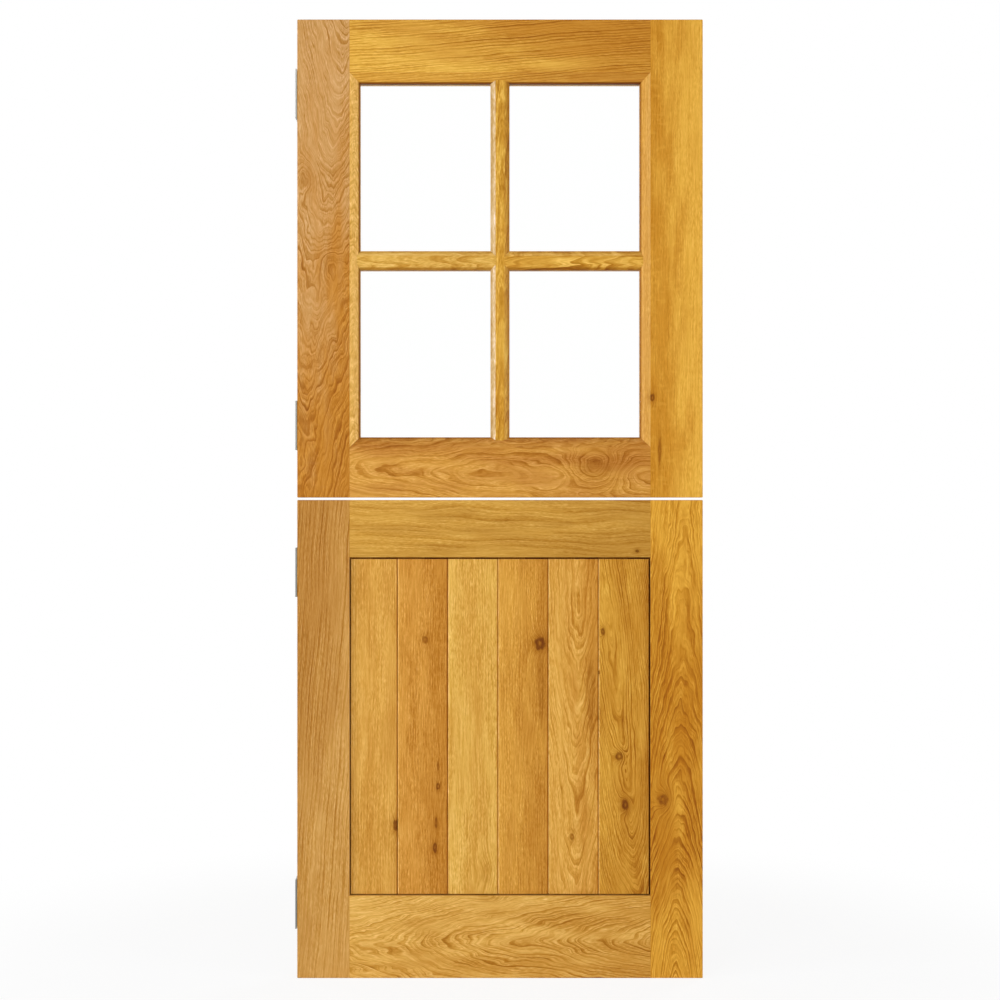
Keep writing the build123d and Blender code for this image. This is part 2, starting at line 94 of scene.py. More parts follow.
# How each piece was cut from the log, in metres along and across the grain from the piece's middle.
# pale and brown: the two tones it shifts between, on a colour card; slope: the painted sheen of its lit slope.
# pith: its place across the face and behind it; lean: how it runs across along the grain; taper and bow:
# how it sinks away. ring_width, wander and ripple shape the rings; mark, streak and fleck set how strongly
# rings, fibres and rays show; cloud and blush: how the tone shifts in patches and over the whole piece.
# moulding: how far the slope on the low and on the high side takes the painted sheen, or, below nought,
# how dark its painted shade is; sight: how dark the painted shade on each side is at the glass.
OAK_CUTS = {
    "upper_hinge_stile": dict(
        pale=(202, 154, 94), brown=(189, 126, 41), pith=(-0.013, 0.148), taper=-0.15, bow=-0.1, lean=0.1,
        ring_width=0.0048, wander=0.01, ripple=0.0045, mark=0.85, streak=0.38, fleck=0.1,
        blush_along=-0.6, blush_across=1.3, moulding=(0.0, 0.9), sight=(0.0, 0.9), slope=(236, 186, 98),
        cloud=0.8,
    ),
    "upper_closing_stile": dict(
        pale=(224, 170, 66), brown=(197, 134, 36), pith=(0.25, 0.05), taper=0.0, lean=0.012,
        ring_width=0.006, wander=0.004, ripple=0.0010, mark=0.20, streak=0.28, fleck=0.45,
        blush_across=-4.5, blush_along=-0.1, moulding=(0.3, 0.0), sight=(0.5, 0.0),
    ),
    "upper_top_rail": dict(
        pale=(229, 180, 79), brown=(196, 135, 46), pith=(-0.25, 0.05), taper=0.0, lean=-0.08,
        ring_width=0.0058, wander=0.01, ripple=0.0024, mark=1.15, streak=0.28, fleck=0.0,
        blush_along=-0.75, blush_across=2.5, moulding=(-0.7, 0.0), sight=(0.9, 0.0), cloud=0.7,
    ),
    "upper_meeting_rail": dict(
        pale=(214, 159, 74), brown=(186, 124, 50), pith=(-0.010, 0.045), taper=0.08, lean=0.02,
        ring_width=0.0075, wander=0.020, ripple=0.0050, mark=0.75, streak=0.32, fleck=0.0,
        blush_along=-0.25, blush_across=1.6, moulding=(0.0, -0.2), sight=(0.0, 0.25),
    ),
    "upright_glazing_bar": dict(
        pale=(217, 169, 68), brown=(199, 141, 42), pith=(0.004, 0.030), taper=0.03, lean=0.0,
        ring_width=0.0038, wander=0.004, ripple=0.001, mark=0.55, streak=0.48, fleck=0.0,
        moulding=(0.95, 0.0), sight=(0.2, 0.3), slope=(218, 188, 142),
    ),
    "cross_glazing_bar_left": dict(
        pale=(230, 188, 98), brown=(212, 164, 75), pith=(0.002, 0.025), taper=0.06, lean=0.0,
        ring_width=0.005, wander=0.008, ripple=0.0016, mark=0.6, streak=0.40, fleck=0.0,
        moulding=(-0.2, 0.3), sight=(0.4, 0.2),
    ),
    "cross_glazing_bar_right": dict(
        pale=(229, 181, 81), brown=(209, 156, 60), pith=(-0.004, 0.025), taper=0.07, lean=0.0,
        ring_width=0.0042, wander=0.010, ripple=0.002, mark=1.3, streak=0.40, fleck=0.0,
        moulding=(-0.2, 0.3), sight=(0.4, 0.2),
    ),
    "lower_hinge_stile": dict(
        pale=(206, 157, 84), brown=(184, 131, 61), pith=(0.15, 0.05), taper=0.02, lean=0.06,
        ring_width=0.008, wander=0.01, ripple=0.0010, mark=0.75, streak=0.32, fleck=0.0,
        blush_along=0.55, blush_across=-3.0, cloud=0.6,
    ),
    "lower_closing_stile": dict(
        pale=(219, 162, 57), brown=(189, 124, 27), pith=(0.008, 0.082), taper=0.13, bow=-0.12, lean=0.02,
        ring_width=0.0054, wander=0.008, ripple=0.0036, mark=1.05, streak=0.32, fleck=0.0,
        blush=0.12, blush_bow=-1.8,
    ),
    "lower_meeting_rail": dict(
        pale=(207, 158, 70), brown=(185, 135, 53), pith=(0.12, 0.06), taper=0.02, lean=0.01,
        ring_width=0.016, wander=0.020, ripple=0.0012, mark=0.45, streak=0.32, fleck=0.0,
        blush_along=-0.44, blush_across=-1.4,
    ),
    "lower_bottom_rail": dict(
        pale=(228, 182, 97), brown=(202, 149, 64), pith=(-0.012, 0.060), taper=0.18, lean=-0.02,
        ring_width=0.0056, wander=0.018, ripple=0.0055, mark=0.85, streak=0.32, fleck=0.0,
        blush_along=-0.40, blush_across=-0.7,
    ),
    "panel_board_1": dict(
        pale=(219, 167, 79), brown=(201, 145, 60), pith=(0.22, 0.06), taper=0.0, lean=0.01,
        ring_width=0.0055, wander=0.006, ripple=0.0008, mark=0.25, streak=0.34, fleck=0.1, blush_across=1.6,
    ),
    "panel_board_2": dict(
        pale=(209, 150, 64), brown=(189, 127, 43), pith=(-0.20, 0.06), taper=0.0, lean=0.01,
        ring_width=0.0055, wander=0.008, ripple=0.0012, mark=0.4, streak=0.48, fleck=0.5, blush_across=3.7,
    ),
    "panel_board_3": dict(
        pale=(224, 178, 86), brown=(209, 156, 67), pith=(0.18, 0.06), taper=0.0, lean=-0.01,
        ring_width=0.006, wander=0.006, ripple=0.0008, mark=0.25, streak=0.42, fleck=0.15,
    ),
    "panel_board_4": dict(
        pale=(214, 158, 66), brown=(192, 132, 46), pith=(0.14, 0.06), taper=0.01, lean=0.01,
        ring_width=0.0055, wander=0.008, ripple=0.0010, mark=0.38, streak=0.46, fleck=0.1, blush_across=3.8,
    ),
    "panel_board_5": dict(
        pale=(221, 169, 80), brown=(200, 141, 55), pith=(0.005, 0.06), taper=-0.08, lean=0.02,
        ring_width=0.005, wander=0.014, ripple=0.0032, mark=0.6, streak=0.34, fleck=0.0, blush_across=2.4,
    ),
    "panel_board_6": dict(
        pale=(213, 160, 62), brown=(191, 132, 39), pith=(-0.015, 0.035), taper=-0.05, bow=0.12, lean=-0.11,
        ring_width=0.0034, wander=0.012, ripple=0.0024, mark=1.1, streak=0.34, fleck=0.0, blush_across=2.0,
    ),
    "glazing_bead": dict(
        pale=(224, 174, 84), brown=(204, 148, 62), pith=(0.08, 0.05), taper=0.01, lean=0.01,
        ring_width=0.004, wander=0.006, ripple=0.001, mark=0.40, streak=0.40, fleck=0.0,
    ),
}

# Knots, swirls and dark flecks of each piece: place across the door and up it, half length along the grain,
# half width, how far they push the rings aside, darkness
OAK_KNOTS = {
    "upper_hinge_stile": (
        (-0.397, 1.655, 0.022, 0.012, 0.014, 0.10), (-0.352, 1.475, 0.020, 0.014, 0.012, 0.08),
    ),
    "upper_closing_stile": (
        (0.3146, 1.200, 0.008, 0.005, 0.006, 0.75), (0.330, 1.088, 0.028, 0.003, 0.002, 0.45),
    ),
    "upper_meeting_rail": ((0.1987, 1.0515, 0.034, 0.022, 0.055, 0.14),),
    "lower_meeting_rail": ((0.2836, 0.8824, 0.004, 0.003, 0.004, 0.8),),
    "lower_bottom_rail": ((-0.021, 0.162, 0.022, 0.010, 0.014, 0.10),),
    "lower_closing_stile": ((0.3374, 0.3684, 0.013, 0.010, 0.022, 0.55),),
    "panel_board_1": ((-0.2153, 0.3148, 0.011, 0.006, 0.008, 0.9),),
    "panel_board_2": (
        (-0.1553, 0.6987, 0.008, 0.006, 0.006, 0.45), (-0.1283, 0.4365, 0.009, 0.002, 0.002, 0.50),
        (-0.1283, 0.3953, 0.007, 0.0035, 0.004, 0.65), (-0.1325, 0.3189, 0.011, 0.003, 0.003, 0.50),
        (-0.1346, 0.2673, 0.010, 0.0045, 0.004, 0.65),
    ),
    "panel_board_3": ((-0.028, 0.214, 0.020, 0.012, 0.012, 0.10),),
    "panel_board_4": (
        (0.0828, 0.6910, 0.0135, 0.0105, 0.014, 0.85), (0.0850, 0.605, 0.080, 0.006, 0.002, 0.18),
    ),
    "panel_board_5": ((0.149, 0.290, 0.007, 0.004, 0.008, 0.50), (0.189, 0.590, 0.070, 0.009, 0.004, 0.22)),
    "panel_board_6": (
        (0.2132, 0.715, 0.007, 0.0045, 0.008, 0.75), (0.2463, 0.457, 0.009, 0.007, 0.010, 0.65),
        (0.2588, 0.356, 0.011, 0.007, 0.012, 0.80), (0.2049, 0.6305, 0.003, 0.0015, 0.001, 0.90),
    ),
}

# Figure of the oak. A patch is the size of a variation in metres along the grain, across it and behind it,
# and a span is the part of the variation over which a mark comes in.
WANDER_PATCH = (0.24, 0.11, 0.11)
RIPPLE_PATCH = (0.05, 0.018, 0.03)
LINE_PATCH = (0.16, 0.025, 0.05)
LINE_SPAN = (0.30, 0.62)
FIBRE_PATCH = (0.05, 0.0017, 0.004)
DASH_PATCH = (0.010, 0.0016, 0.0016)
PORE_PATCH = (0.018, 0.0011, 0.002)
PORE_SPAN = (0.57, 0.70)
RAY_PATCH = (0.010, 0.022, 0.022)
RAY_SPAN = (0.58, 0.72)
CLOUD_PATCH = (0.16, 0.032, 0.05)
TONE_SPAN = (-0.26, 0.26)
SEED_STEP = (1.7, 0.61, 0.37)

# Rings: a point below 2 makes their arches pointed, and each ends in a dark line, soft inside, sharp outside
RING_POINT = 1.6
RING_UNEVENNESS = 1.7
RINGS_ALIKE = (2.4, 1.0, 1.0)
LINE_INNER_EDGE = (0.50, 0.90)
LINE_OUTER_EDGE = (1.0, 0.94)
WEAKEST_LINE = 0.30
FINER_LINES = 3.0
FINER_LINE_SHARE = 0.65
LINES_ON_SLOPE = (0.0, 0.4, 1.0, 0.35)
MARKS_ON_BROWN = (0.0, 0.7)
FIBRE_CONTRAST = 2.4
DASH_CONTRAST = 2.7
PORES_BY_LINE = (0.0, 0.6, 0.35, 1.0)
PORE_STAIN = 0.25
PORE_DULLNESS = 0.12
RAY_GLEAM = 0.5
RAY_DULLNESS = -0.08
FIBRE_HEIGHT = 0.5
PORE_HEIGHT = -0.6
LINE_HEIGHT = -0.3

# Knots, in shares of their own half size: how far they reach, their dark rim and their paler heart
KNOT_CROOK_PATCH = (0.010, 0.006, 0.02)
KNOT_DEPTH = 0.06
KNOT_FALL = -0.35
KNOT_RIM = (1.40, 0.70)
KNOT_HEART = (0.05, 0.65, 0.30, 1.0)
KNOT_HALO = 0.42

# Where the painted sheen, the painted shade and the dark joint line change, in metres: across a piece's
# middle, past the end of its flat, behind its face for the top of the slope and for the arris's painted
# highlight, from the leaf's middle for the slope's foot and the sight edge's painted shade (below nought is
# towards the front), below a board's face for vees and for the painted shade on tongues, past a rail's
# shoulder for the joint
HALVES = (-0.001, 0.001)
FLAT_END = (-0.0015, -0.0005)
SLOPE_TOP = (0.0002, 0.0012)
SLOPE_FOOT = (0.0, -0.004)
# The arris gleam is a painted highlight along the edge of a slope
ARRIS_TOP = (0.0001, 0.0005)
ARRIS_FOOT = (0.0022, 0.0012)
ARRIS_GLEAM = 0.7
# Sight edges take painted shade next to the glass
SIGHT_TOP = (-0.0130, -0.0100)
SIGHT_FOOT = (-0.001, -0.003)
# Vees: painted sheen on the bevel facing the light, painted shade on the one facing away
VEE_DEPTH = (0.0004, 0.0012)
VEE_GLEAM = 0.9
# Tongues deep in the gap round the panel take painted shade
TONGUE_DEPTH = (0.0034, 0.0044)
TONGUE_SHADE = 0.75
JOINT_INNER = (-0.0016, -0.0002)
JOINT_OUTER = (0.0010, 0.0004)
JOINT_SHADE = 0.6

# Brushed steel and glass
BRUSH_STRETCH = 60
STEEL_CLOUD_PATCH = (0.02, 0.02, 0.03)
STEEL_SHADOW = 0.75
LINE_WEAR = 0.25
CLOUD_WEAR = 0.2
STEEL_DULLNESS = 0.34
WORN_DULLNESS = 0.35
PIN_BRUSHING = 0.0004
WIPE_PATCH = (0.05, 0.05, 0.012)
WIPE_SPAN = (0.45, 0.85)
WIPE_DULLNESS = 0.03

# Bead pins: sides of a head, its rounding as a share of its height, and its inset as a part of a bead's depth
HEAD_SIDES = 12
HEAD_ROUNDING = 0.6
INSET_PARTS = 6
LEVEL_DIGITS = 6
LEVEL_SLACK = 1e-9

# Soft boxes round the door: place and width in metres, power in watts
LAMPS = {
    "front lamp": ((-2.4, -4.6, 2.4), 2.0, 85),
    "left lamp": ((-3.6, -1.6, 1.4), 1.8, 76),
    "right lamp": ((3.6, -1.8, 1.2), 1.8, 52),
    "right front lamp": ((2.6, -4.6, 1.8), 2.0, 20),
    "back lamp": ((3.4, 4.4, 2.6), 2.0, 100),
    "left back lamp": ((-3.6, 3.8, 1.8), 2.0, 50),
    "top lamp": ((0.3, -0.6, 4.6), 2.4, 18),
}


class OakFinish(bpy.types.PropertyGroup):
    """Lacquered oak that all the joinery shares"""

    ring_tint: bpy.props.FloatVectorProperty(
        name="Ring tint", description="What the dark line of a growth ring does to the wood's tone",
        subtype="COLOR", min=0, max=1, default=(0.50, 0.33, 0.09),
    )
    # Painted sheen: slopes and vees that face the light take this paler colour
    painted_sheen_colour: bpy.props.FloatVectorProperty(
        name="Painted sheen colour", description="Painted sheen on slopes and vees that face the light",
        subtype="COLOR", min=0, max=1, default=paint(238, 190, 104),
    )
    # Painted shade on slopes and vee bevels facing away from the light, and the dark line of a rail's joint
    shade_and_joint_tint: bpy.props.FloatVectorProperty(
        name="Shade and joint tint", description="What lacquer gathered in joints and grooves does to the tone",
        subtype="COLOR", min=0, max=1, default=(0.78, 0.68, 0.58),
    )
    # Also tints the painted shade at sight edges and on the tongues in the gap round the panel
    knot_and_shade_tint: bpy.props.FloatVectorProperty(
        name="Knot and shade tint", description="What the dark of a knot and the painted shade at sight edges and tongues do to the tone",
        subtype="COLOR", min=0, max=1, default=(0.27, 0.15, 0.03),
    )
    pale_mark: bpy.props.FloatProperty(
        name="Pale mark", description="Strength of the rings where the wood is pale, as a share of full",
        subtype="FACTOR", min=0, max=1, default=0.7,
    )
    lacquer_roughness: bpy.props.FloatProperty(
        name="Lacquer roughness", description="Satin lacquer over the grain, before the pores dull it",
        subtype="FACTOR", min=0, max=1, default=0.42,
    )
    grain_relief: bpy.props.FloatProperty(
        name="Grain relief", description="Depth of the open pores under the lacquer",
        unit="LENGTH", min=0, max=0.002, default=0.0003,
    )


class SteelFinish(bpy.types.PropertyGroup):
    """Satin steel of the hinges and their screws"""

    flap_colour: bpy.props.FloatVectorProperty(
        name="Flap colour", description="Brushed steel of the hinge flaps and pins",
        subtype="COLOR", min=0, max=1, default=paint(160, 159, 155),
    )
    screw_colour: bpy.props.FloatVectorProperty(
        name="Screw colour", description="Bright steel of the screws and bead pins",
        subtype="COLOR", min=0, max=1, default=paint(150, 148, 142),
    )
    brushing: bpy.props.FloatProperty(
        name="Brushing", description="Spacing of the fine brushed lines",
        unit="LENGTH", min=0.0001, max=0.005, default=0.0006,
    )


class GlassFinish(bpy.types.PropertyGroup):
    """Clear float glass of the four panes"""

    tint: bpy.props.FloatVectorProperty(
        name="Glass tint", description="Colour of the glass",
        subtype="COLOR", min=0, max=1, default=(0.997, 1.0, 0.998),
    )
    waviness: bpy.props.FloatProperty(
        name="Waviness", description="Distance between the faint waves of the pane",
        unit="LENGTH", min=0.01, max=1, default=0.12,
    )


class BeadPinSizes(bpy.types.PropertyGroup):
    """Panel pins that hold the glazing beads"""

    head_radius: bpy.props.FloatProperty(
        name="Head radius", description="Half the width of a pin's head",
        unit="LENGTH", min=0.0003, max=0.003, default=0.0008,
    )
    head_height: bpy.props.FloatProperty(
        name="Head height", description="How far a head stands out of the bead",
        unit="LENGTH", min=0.0001, max=0.002, default=0.0003,
    )
    end_distance: bpy.props.FloatProperty(
        name="End distance", description="From the mitre to the first pin",
        unit="LENGTH", min=0.01, max=0.1, default=0.035,
    )
    spacing: bpy.props.FloatProperty(
        name="Spacing", description="Longest distance between two pins",
        unit="LENGTH", min=0.02, max=0.5, default=0.14,
    )


class StudioSetup(bpy.types.PropertyGroup):
    """Pale studio: floor, light and camera"""

    camera_distance: bpy.props.FloatProperty(
        name="Camera distance", description="From the front of the door to the camera",
        unit="LENGTH", min=1, max=50, default=3.8,
    )
    view_width: bpy.props.FloatProperty(
        name="View width", description="Width that the picture takes in at the door",
        unit="LENGTH", min=0.5, max=10, default=2.066,
    )
    camera_height: bpy.props.FloatProperty(
        name="Camera height", description="Height of the camera over the floor",
        unit="LENGTH", min=0, max=5, default=0.988,
    )
    floor_size: bpy.props.FloatProperty(
        name="Floor size", description="Side of the square floor",
        unit="LENGTH", min=2, max=100, default=16.0,
    )
    floor_colour: bpy.props.FloatVectorProperty(
        name="Floor colour", description="Matt pale floor",
        subtype="COLOR", min=0, max=1, default=(0.92, 0.92, 0.92),
    )
    shadow_share: bpy.props.FloatProperty(
        name="Shadow share", description="How much of the floor's own shading the camera sees",
        subtype="FACTOR", min=0, max=1, default=0.12,
    )
    shadow_reach: bpy.props.FloatProperty(
        name="Shadow reach", description="Distance from the door at which the floor looks plain white",
        unit="LENGTH", min=0.5, max=20, default=1.6,
    )
    fill_light: bpy.props.FloatProperty(
        name="Fill light", description="Even light from all round",
        min=0, max=2, default=0.18,
    )


class Graph:
    """A node tree being wired up: each method adds a node and gives its output."""

    def __init__(self, tree):
        self.tree = tree

    def node(self, kind, inputs=(), **settings):
        made = self.tree.nodes.new(kind)
        for name, value in settings.items():
            setattr(made, name, value)
        for name, value in dict(inputs).items():
            if isinstance(value, bpy.types.NodeSocket):
                self.tree.links.new(value, made.inputs[name])
            else:
                made.inputs[name].default_value = value
        return made

    def maths(self, operation, *values):
        return self.node("ShaderNodeMath", enumerate(values), operation=operation).outputs[0]

    def vector(self, operation, *values):
        return self.node("ShaderNodeVectorMath", enumerate(values), operation=operation).outputs[0]

    def length(self, value):
        return self.node("ShaderNodeVectorMath", {0: value}, operation="LENGTH").outputs["Value"]

    def split(self, value):
        return self.node("ShaderNodeSeparateXYZ", {0: value}).outputs

    def join(self, *values):
        return self.node("ShaderNodeCombineXYZ", enumerate(values)).outputs[0]

    def ramp(self, value, low, high, to_low=0.0, to_high=1.0, smooth=True):
        inputs = {"Value": value, "From Min": low, "From Max": high, "To Min": to_low, "To Max": to_high}
        kind = "SMOOTHSTEP" if smooth else "LINEAR"
        return self.node("ShaderNodeMapRange", inputs, interpolation_type=kind).outputs[0]

    def noise(self, place, size, detail=1.0, roughness=0.5):
        """Cloudy variation from 0 to 1 whose patches have the given size."""
        patches = self.vector("DIVIDE", place, size)
        inputs = {"Vector": patches, "Scale": 1.0, "Detail": detail, "Roughness": roughness}
        return self.node("ShaderNodeTexNoise", inputs).outputs[0]

    def swing(self, noise, reach):
        """Turns a 0 to 1 variation into one to both sides of nought."""
        return self.maths("MULTIPLY", self.maths("SUBTRACT", noise, 0.5), reach)

    def product(self, first, *others):
        """Several shares multiplied."""
        for other in others:
            first = self.maths("MULTIPLY", first, other)
        return first

    def mix(self, share, first, second, blend="MIX"):
        inputs = {0: share, 6: first, 7: second}
        return self.node("ShaderNodeMix", inputs, data_type="RGBA", blend_type=blend).outputs[2]


def new_group(name, inputs, outputs):
    """An empty node group with the named sockets, and what its input node gives."""
    tree = bpy.data.node_groups.new(name, "ShaderNodeTree")
    for socket, kind in inputs:
        tree.interface.new_socket(name=socket, in_out="INPUT", socket_type=kind)
    for socket, kind in outputs:
        tree.interface.new_socket(name=socket, in_out="OUTPUT", socket_type=kind)
    graph = Graph(tree)
    return graph, graph.node("NodeGroupInput").outputs


def knot_group():
    """Group that pushes the rings aside round a knot and darkens it: most at its rim, less at its heart."""
    number, vector = "NodeSocketFloat", "NodeSocketVector"
    graph, given = new_group(
        "oak knot",
        (
            ("Grain", vector), ("Middle", vector), ("Half Size", vector),
            ("Pushes", number), ("Darkness", number), ("Push", number), ("Shade", number),
        ),
        (("Push", number), ("Shade", number)),
    )
    away = graph.vector("SUBTRACT", given["Grain"], given["Middle"])
    away = graph.vector("DIVIDE", away, given["Half Size"])
    crooked = graph.swing(graph.noise(given["Grain"], KNOT_CROOK_PATCH, 2.0), 1.0)
    distance = graph.length(away)
    bump = graph.maths("EXPONENT", graph.product(distance, distance, KNOT_FALL))
    distance = graph.maths("ADD", distance, crooked)
    rim = graph.product(graph.ramp(distance, *KNOT_RIM), graph.ramp(distance, *KNOT_HEART))
    halo = graph.product(bump, KNOT_HALO)
    shade = graph.product(graph.maths("MAXIMUM", rim, halo), given["Darkness"])
    pushed = graph.maths("MULTIPLY_ADD", bump, given["Pushes"], given["Push"])
    shaded = graph.maths("MAXIMUM", shade, given["Shade"])
    graph.node("NodeGroupOutput", {0: pushed, 1: shaded})
    return graph.tree


def ring_lines(graph, rings):
    """Dark line at the end of each ring, with a sharp outer edge, stronger in some years than in others."""
    in_ring = graph.maths("FRACT", rings)
    line = graph.product(graph.ramp(in_ring, *LINE_INNER_EDGE), graph.ramp(in_ring, *LINE_OUTER_EDGE))
    count = graph.maths("FLOOR", rings)
    year = graph.node("ShaderNodeTexWhiteNoise", {"W": count}, noise_dimensions="1D").outputs[0]
    return graph.product(line, graph.ramp(year, 0.0, 1.0, WEAKEST_LINE, 1.0, smooth=False))


def grain_group(oak):
    """Group that grows oak: rings round a leaning pith, fibres, pores, rays and slow changes of tone."""
    number, vector, colour = "NodeSocketFloat", "NodeSocketVector", "NodeSocketColor"
    graph, given = new_group(
        "oak grain",
        (
            ("Grain", vector), ("Seed", vector), ("Pith Across", number), ("Pith Behind", number),
            ("Lean", number), ("Taper", number), ("Bow", number),
            ("Ring Width", number), ("Wander", number), ("Ripple", number),
            ("Mark", number), ("Pale Mark", number), ("Streak", number), ("Fleck", number),
            ("Pale", colour), ("Brown", colour), ("Slope", colour), ("Cloud", number),
            ("Blush", number), ("Blush Along", number), ("Blush Across", number), ("Blush Bow", number),
            ("Push", number), ("Shade", number), ("Sheen Share", number), ("Painted Shade And Joint", number),
        ),
        (("Colour", colour), ("Roughness", number), ("Height", number)),
    )
    along, across, behind = graph.split(given["Grain"])
    place = graph.vector("ADD", given["Grain"], given["Seed"])

    # Distance to the pith, wandering slowly and rippling quickly along the grain
    pith_across = graph.maths("MULTIPLY_ADD", along, given["Lean"], given["Pith Across"])
    sinking = graph.maths("MULTIPLY_ADD", along, given["Bow"], given["Taper"])
    pith_behind = graph.maths("MULTIPLY_ADD", along, sinking, given["Pith Behind"])
    aside = graph.maths("ABSOLUTE", graph.maths("SUBTRACT", across, pith_across))
    above = graph.maths("ABSOLUTE", graph.maths("SUBTRACT", behind, pith_behind))
    aside = graph.maths("POWER", aside, RING_POINT)
    above = graph.maths("POWER", above, RING_POINT)
    from_pith = graph.maths("POWER", graph.maths("ADD", aside, above), 1 / RING_POINT)
    wander = graph.product(graph.swing(graph.noise(place, WANDER_PATCH), 2.0), given["Wander"])
    ripple = graph.product(graph.swing(graph.noise(place, RIPPLE_PATCH), 2.0), given["Ripple"])
    reach = graph.maths("ADD", from_pith, graph.maths("ADD", wander, ripple))
    reach = graph.maths("ADD", reach, given["Push"])

    # Rings of uneven width, with fainter lines between, coming and going along the grain
    rings = graph.maths("DIVIDE", reach, given["Ring Width"])
    uneven = graph.swing(graph.noise(graph.join(rings, 0.0, 0.0), RINGS_ALIKE), RING_UNEVENNESS)
    rings = graph.maths("ADD", rings, uneven)
    finer = graph.product(ring_lines(graph, graph.product(rings, FINER_LINES)), FINER_LINE_SHARE)
    line = graph.maths("MAXIMUM", ring_lines(graph, rings), finer)
    patch = graph.ramp(graph.noise(place, LINE_PATCH), *LINE_SPAN, WEAKEST_LINE, 1.0)
    line = graph.product(line, patch, graph.ramp(given["Sheen Share"], *LINES_ON_SLOPE))

    # Fibres that follow the rings, short dashes along the grain, pores beside the dark lines, rays across
    flow = graph.vector("ADD", graph.join(along, reach, behind), given["Seed"])
    fibre = graph.noise(flow, FIBRE_PATCH, 2.0, 0.6)
    dash = graph.noise(place, DASH_PATCH, 1.0, 0.6)
    pore = graph.ramp(graph.noise(flow, PORE_PATCH), *PORE_SPAN)
    pore = graph.product(pore, graph.ramp(line, *PORES_BY_LINE))
    ray = graph.ramp(graph.noise(place, RAY_PATCH, 1.0, 0.6), *RAY_SPAN)

    # Slow changes of tone over the piece
    cloud = graph.swing(graph.noise(place, CLOUD_PATCH, 3.0, 0.55), given["Cloud"])
    drift = graph.maths("MULTIPLY_ADD", along, given["Blush Along"], given["Blush"])
    drift = graph.maths("MULTIPLY_ADD", across, given["Blush Across"], drift)
    drift = graph.maths("MULTIPLY_ADD", graph.product(along, along), given["Blush Bow"], drift)
    share = graph.ramp(graph.maths("ADD", cloud, drift), *TONE_SPAN)
    tone = graph.mix(share, given["Pale"], given["Brown"])
    # Painted sheen: slopes, arrises and vee bevels that face the light take a paler colour
    tone = graph.mix(given["Sheen Share"], tone, given["Slope"])

    # Dark marks stain the wood with the ring tint, most where it is brown, and rays lighten it
    dashes = graph.product(graph.swing(dash, DASH_CONTRAST), patch)
    streak = graph.maths("ADD", graph.swing(fibre, FIBRE_CONTRAST), dashes)
    streak = graph.product(streak, given["Streak"])
    mark = graph.product(given["Mark"], graph.ramp(share, *MARKS_ON_BROWN, given["Pale Mark"], 1.0))
    marks = graph.maths("MULTIPLY_ADD", line, mark, streak)
    marks = graph.maths("MULTIPLY_ADD", pore, PORE_STAIN, marks)
    wood = graph.vector("MULTIPLY", tone, graph.vector("POWER", tuple(oak.ring_tint), marks))
    rays = graph.product(ray, given["Fleck"])
    wood = graph.mix(graph.product(rays, RAY_GLEAM), wood, given["Pale"])
    # Painted shade on slopes and vee bevels facing away from the light, and the dark joint at rails' shoulders
    wood = graph.mix(given["Painted Shade And Joint"], wood, (*oak.shade_and_joint_tint, 1.0), "MULTIPLY")
    # Knots darken the wood, and so does painted shade at sight edges and on deep tongues
    wood = graph.vector("MULTIPLY", wood, graph.vector("POWER", tuple(oak.knot_and_shade_tint), given["Shade"]))

    dull = graph.maths("MULTIPLY_ADD", pore, PORE_DULLNESS, oak.lacquer_roughness)
    dull = graph.maths("MULTIPLY_ADD", rays, RAY_DULLNESS, dull)
    height = graph.maths("MULTIPLY_ADD", pore, PORE_HEIGHT, graph.product(fibre, FIBRE_HEIGHT))
    height = graph.maths("MULTIPLY_ADD", line, LINE_HEIGHT, height)
    graph.node("NodeGroupOutput", {0: wood, 1: dull, 2: height})
    return graph.tree


def new_material(name):
    """A material with an empty node tree, its graph and its output node."""
    material = bpy.data.materials.new(name)
    material.use_nodes = True
    material.node_tree.nodes.clear()
    graph = Graph(material.node_tree)
    return material, graph, graph.node("ShaderNodeOutputMaterial")


def give(node, material):
    """Puts one material on a CAD node."""
    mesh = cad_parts[node].data
    mesh.materials.clear()
    mesh.materials.append(material)


def moulding_shares(graph, cut, y, across, face, half_width):
    """How far a piece with a moulding takes painted sheen on its lit slopes and arris, and painted shade on
    slopes facing away and at the glass.
    """
    slope = graph.product(graph.ramp(y, *(face + depth for depth in SLOPE_TOP)), graph.ramp(y, *SLOPE_FOOT))
    past_flat = graph.maths("SUBTRACT", graph.maths("ABSOLUTE", across), half_width - MOULDING_WIDTH)
    on_moulding = graph.ramp(past_flat, *FLAT_END)
    sides = graph.product(graph.ramp(across, *HALVES, *cut["moulding"]), on_moulding)
    # Painted highlight along the arris, on top of the painted sheen of a slope facing the light
    arris = graph.ramp(y, *(face + depth for depth in ARRIS_TOP))
    arris = graph.product(arris, graph.ramp(y, *(face + depth for depth in ARRIS_FOOT)))
    painted_sheen = graph.maths("MULTIPLY_ADD", arris, ARRIS_GLEAM, slope)
    painted_sheen = graph.product(painted_sheen, graph.maths("MAXIMUM", sides, 0.0))
    # Painted shade on a slope that faces away from the light
    painted_shade_and_joint = graph.product(slope, graph.maths("MAXIMUM", graph.product(sides, -1.0), 0.0))
    # Painted shade at the sight edge next to the glass
    edge = graph.product(graph.ramp(y, *SIGHT_TOP), graph.ramp(y, *SIGHT_FOOT))
    edge = graph.product(edge, graph.ramp(across, *HALVES, *cut["sight"]), on_moulding)
    return painted_sheen, painted_shade_and_joint, edge


